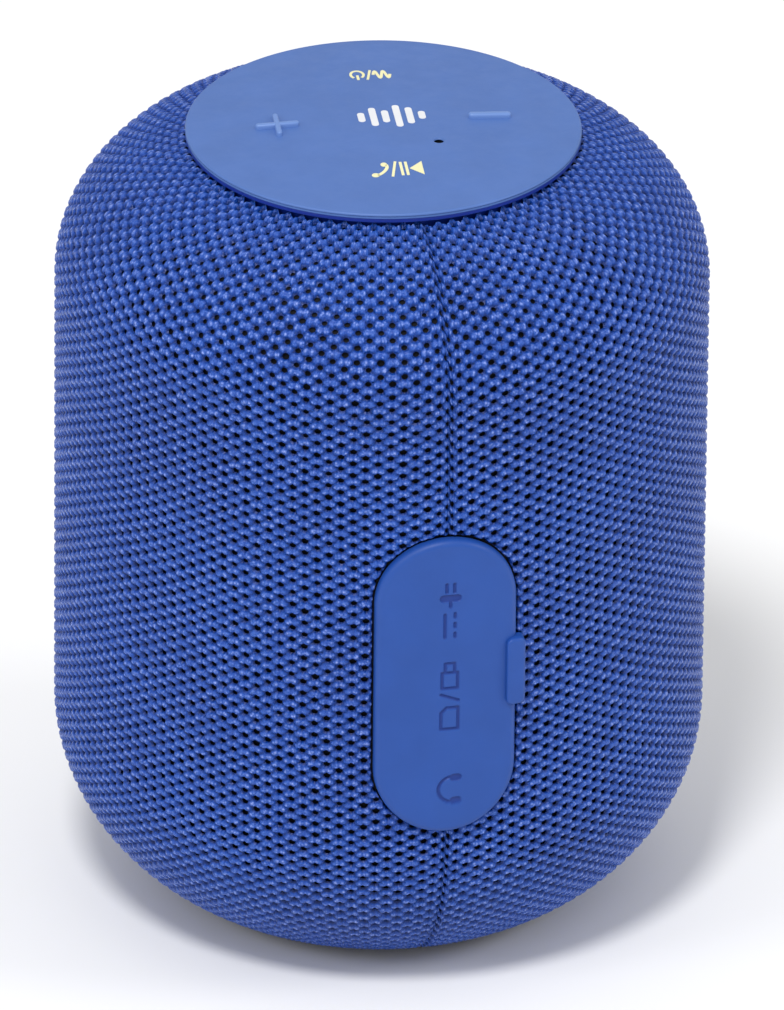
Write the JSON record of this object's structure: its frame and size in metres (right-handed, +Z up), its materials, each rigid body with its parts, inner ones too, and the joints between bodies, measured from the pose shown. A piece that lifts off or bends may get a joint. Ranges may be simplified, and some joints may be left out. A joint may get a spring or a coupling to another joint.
{
  "type": "portable bluetooth speaker",
  "caption": "Barrel-shaped portable wireless speaker in a blue knitted sleeve, with a round silicone key pad on top, a hinged rubber flap over its ports and a loudspeaker inside",
  "frame": {"origin": "centre of the rubber foot's underside, on the surface the speaker stands on", "axes": "+Z up along the barrel's axis; -Y towards the port flap and the sleeve's seam; +Y towards the loudspeaker"},
  "size_m": [0.084, 0.0849, 0.1075],
  "materials": {
    "blue_knit": "glossy synthetic knit with a hole at every stitch",
    "black_plastic": "moulded, fine grain",
    "screw_steel": "zinc plated",
    "blue_silicone": "satin silicone",
    "blue_plastic": "satin moulded",
    "foot_rubber": "matte",
    "pad_silicone": "fine matte silicone",
    "switch_plastic": "moulded",
    "switch_body": "moulded",
    "board_green": "solder mask on glass-epoxy",
    "nickel_shell": "nickel plated",
    "black_rubber": "matte",
    "ribbon_white": "flat cable film",
    "tongue_white": "moulded",
    "capacitor_can": "satin can",
    "header_cream": "moulded",
    "cell_wrap": "shrink wrap",
    "wire_red": "insulated wire",
    "wire_black": "insulated wire",
    "basket_steel": "black coated",
    "ferrite": "ground ferrite",
    "plated_steel": "yellow zinc plated",
    "coil_copper": "enamelled copper winding",
    "cone_paper": "pressed paper",
    "spider_cloth": "impregnated cloth",
    "gasket_foam": "foam"
  },
  "bodies": {
    "speaker": {"fabric_sleeve": "blue_knit", "front_housing": "black_plastic", "rear_housing": "black_plastic", "housing_screws": "screw_steel", "port_bezel": "black_plastic", "flap_tether": "blue_silicone", "base_plate": "blue_plastic", "base_screws": "screw_steel", "rubber_foot": "foot_rubber", "top_trim_ring": "blue_plastic", "top_plate": "black_plastic", "button_pad": "pad_silicone", "tact_switches": "switch_body", "key_board": "board_green", "key_board_screws": "screw_steel", "microphone": "nickel_shell", "mic_gasket": "black_rubber", "key_ribbon": "ribbon_white", "main_board": "board_green", "usb_socket": "nickel_shell", "usb_tongue": "tongue_white", "charging_socket": "nickel_shell", "card_slot": "nickel_shell", "aux_jack": "switch_body", "board_chips": "switch_body", "board_capacitors": "capacitor_can", "wire_headers": "header_cream", "ribbon_headers": "header_cream", "battery_cell": "cell_wrap", "battery_tray": "black_plastic", "battery_strap": "black_plastic", "strap_screws": "screw_steel", "battery_leads": "wire_red", "driver_basket": "basket_steel", "driver_magnet": "ferrite", "driver_top_plate": "plated_steel", "driver_yoke": "plated_steel", "cone_surround": "black_rubber", "spider": "spider_cloth", "driver_gasket": "gasket_foam", "driver_screws": "screw_steel", "driver_terminals": "header_cream", "speaker_leads": "wire_black"},
    "flap": {"port_flap": "blue_silicone"},
    "power_mode": {"power_mode_key": "pad_silicone", "power_mode_switch_stem": "switch_plastic"},
    "play_call": {"play_call_key": "pad_silicone", "play_call_switch_stem": "switch_plastic"},
    "volume_up": {"volume_up_key": "pad_silicone", "volume_up_switch_stem": "switch_plastic"},
    "volume_down": {"volume_down_key": "pad_silicone", "volume_down_switch_stem": "switch_plastic"},
    "cone": {"voice_coil": "coil_copper", "driver_cone": "cone_paper", "dust_cap": "cone_paper"}
  },
  "joints": [
    {"name": "port_flap_hinge", "type": "hinge", "parent": "speaker", "child": "flap", "pos_m": [-0.0098, -0.041, 0.048], "axis": [0, 0, -1], "range_deg": [0, 110], "deforming": ["flap_tether"]},
    {"name": "power_mode_press", "type": "slide", "parent": "speaker", "child": "power_mode", "axis": [0, 0, -1], "range_m": [0, 0.0003], "stiffness_N_per_m": 4000},
    {"name": "play_call_press", "type": "slide", "parent": "speaker", "child": "play_call", "axis": [0, 0, -1], "range_m": [0, 0.0003], "stiffness_N_per_m": 4000},
    {"name": "volume_up_press", "type": "slide", "parent": "speaker", "child": "volume_up", "axis": [0, 0, -1], "range_m": [0, 0.0003], "stiffness_N_per_m": 4000},
    {"name": "volume_down_press", "type": "slide", "parent": "speaker", "child": "volume_down", "axis": [0, 0, -1], "range_m": [0, 0.0003], "stiffness_N_per_m": 4000},
    {"name": "cone_travel", "type": "slide", "parent": "speaker", "child": "cone", "axis": [0, 1, 0], "range_m": [-0.0015, 0.0015], "stiffness_N_per_m": 1000, "deforming": ["cone_surround", "spider"]}
  ]
}
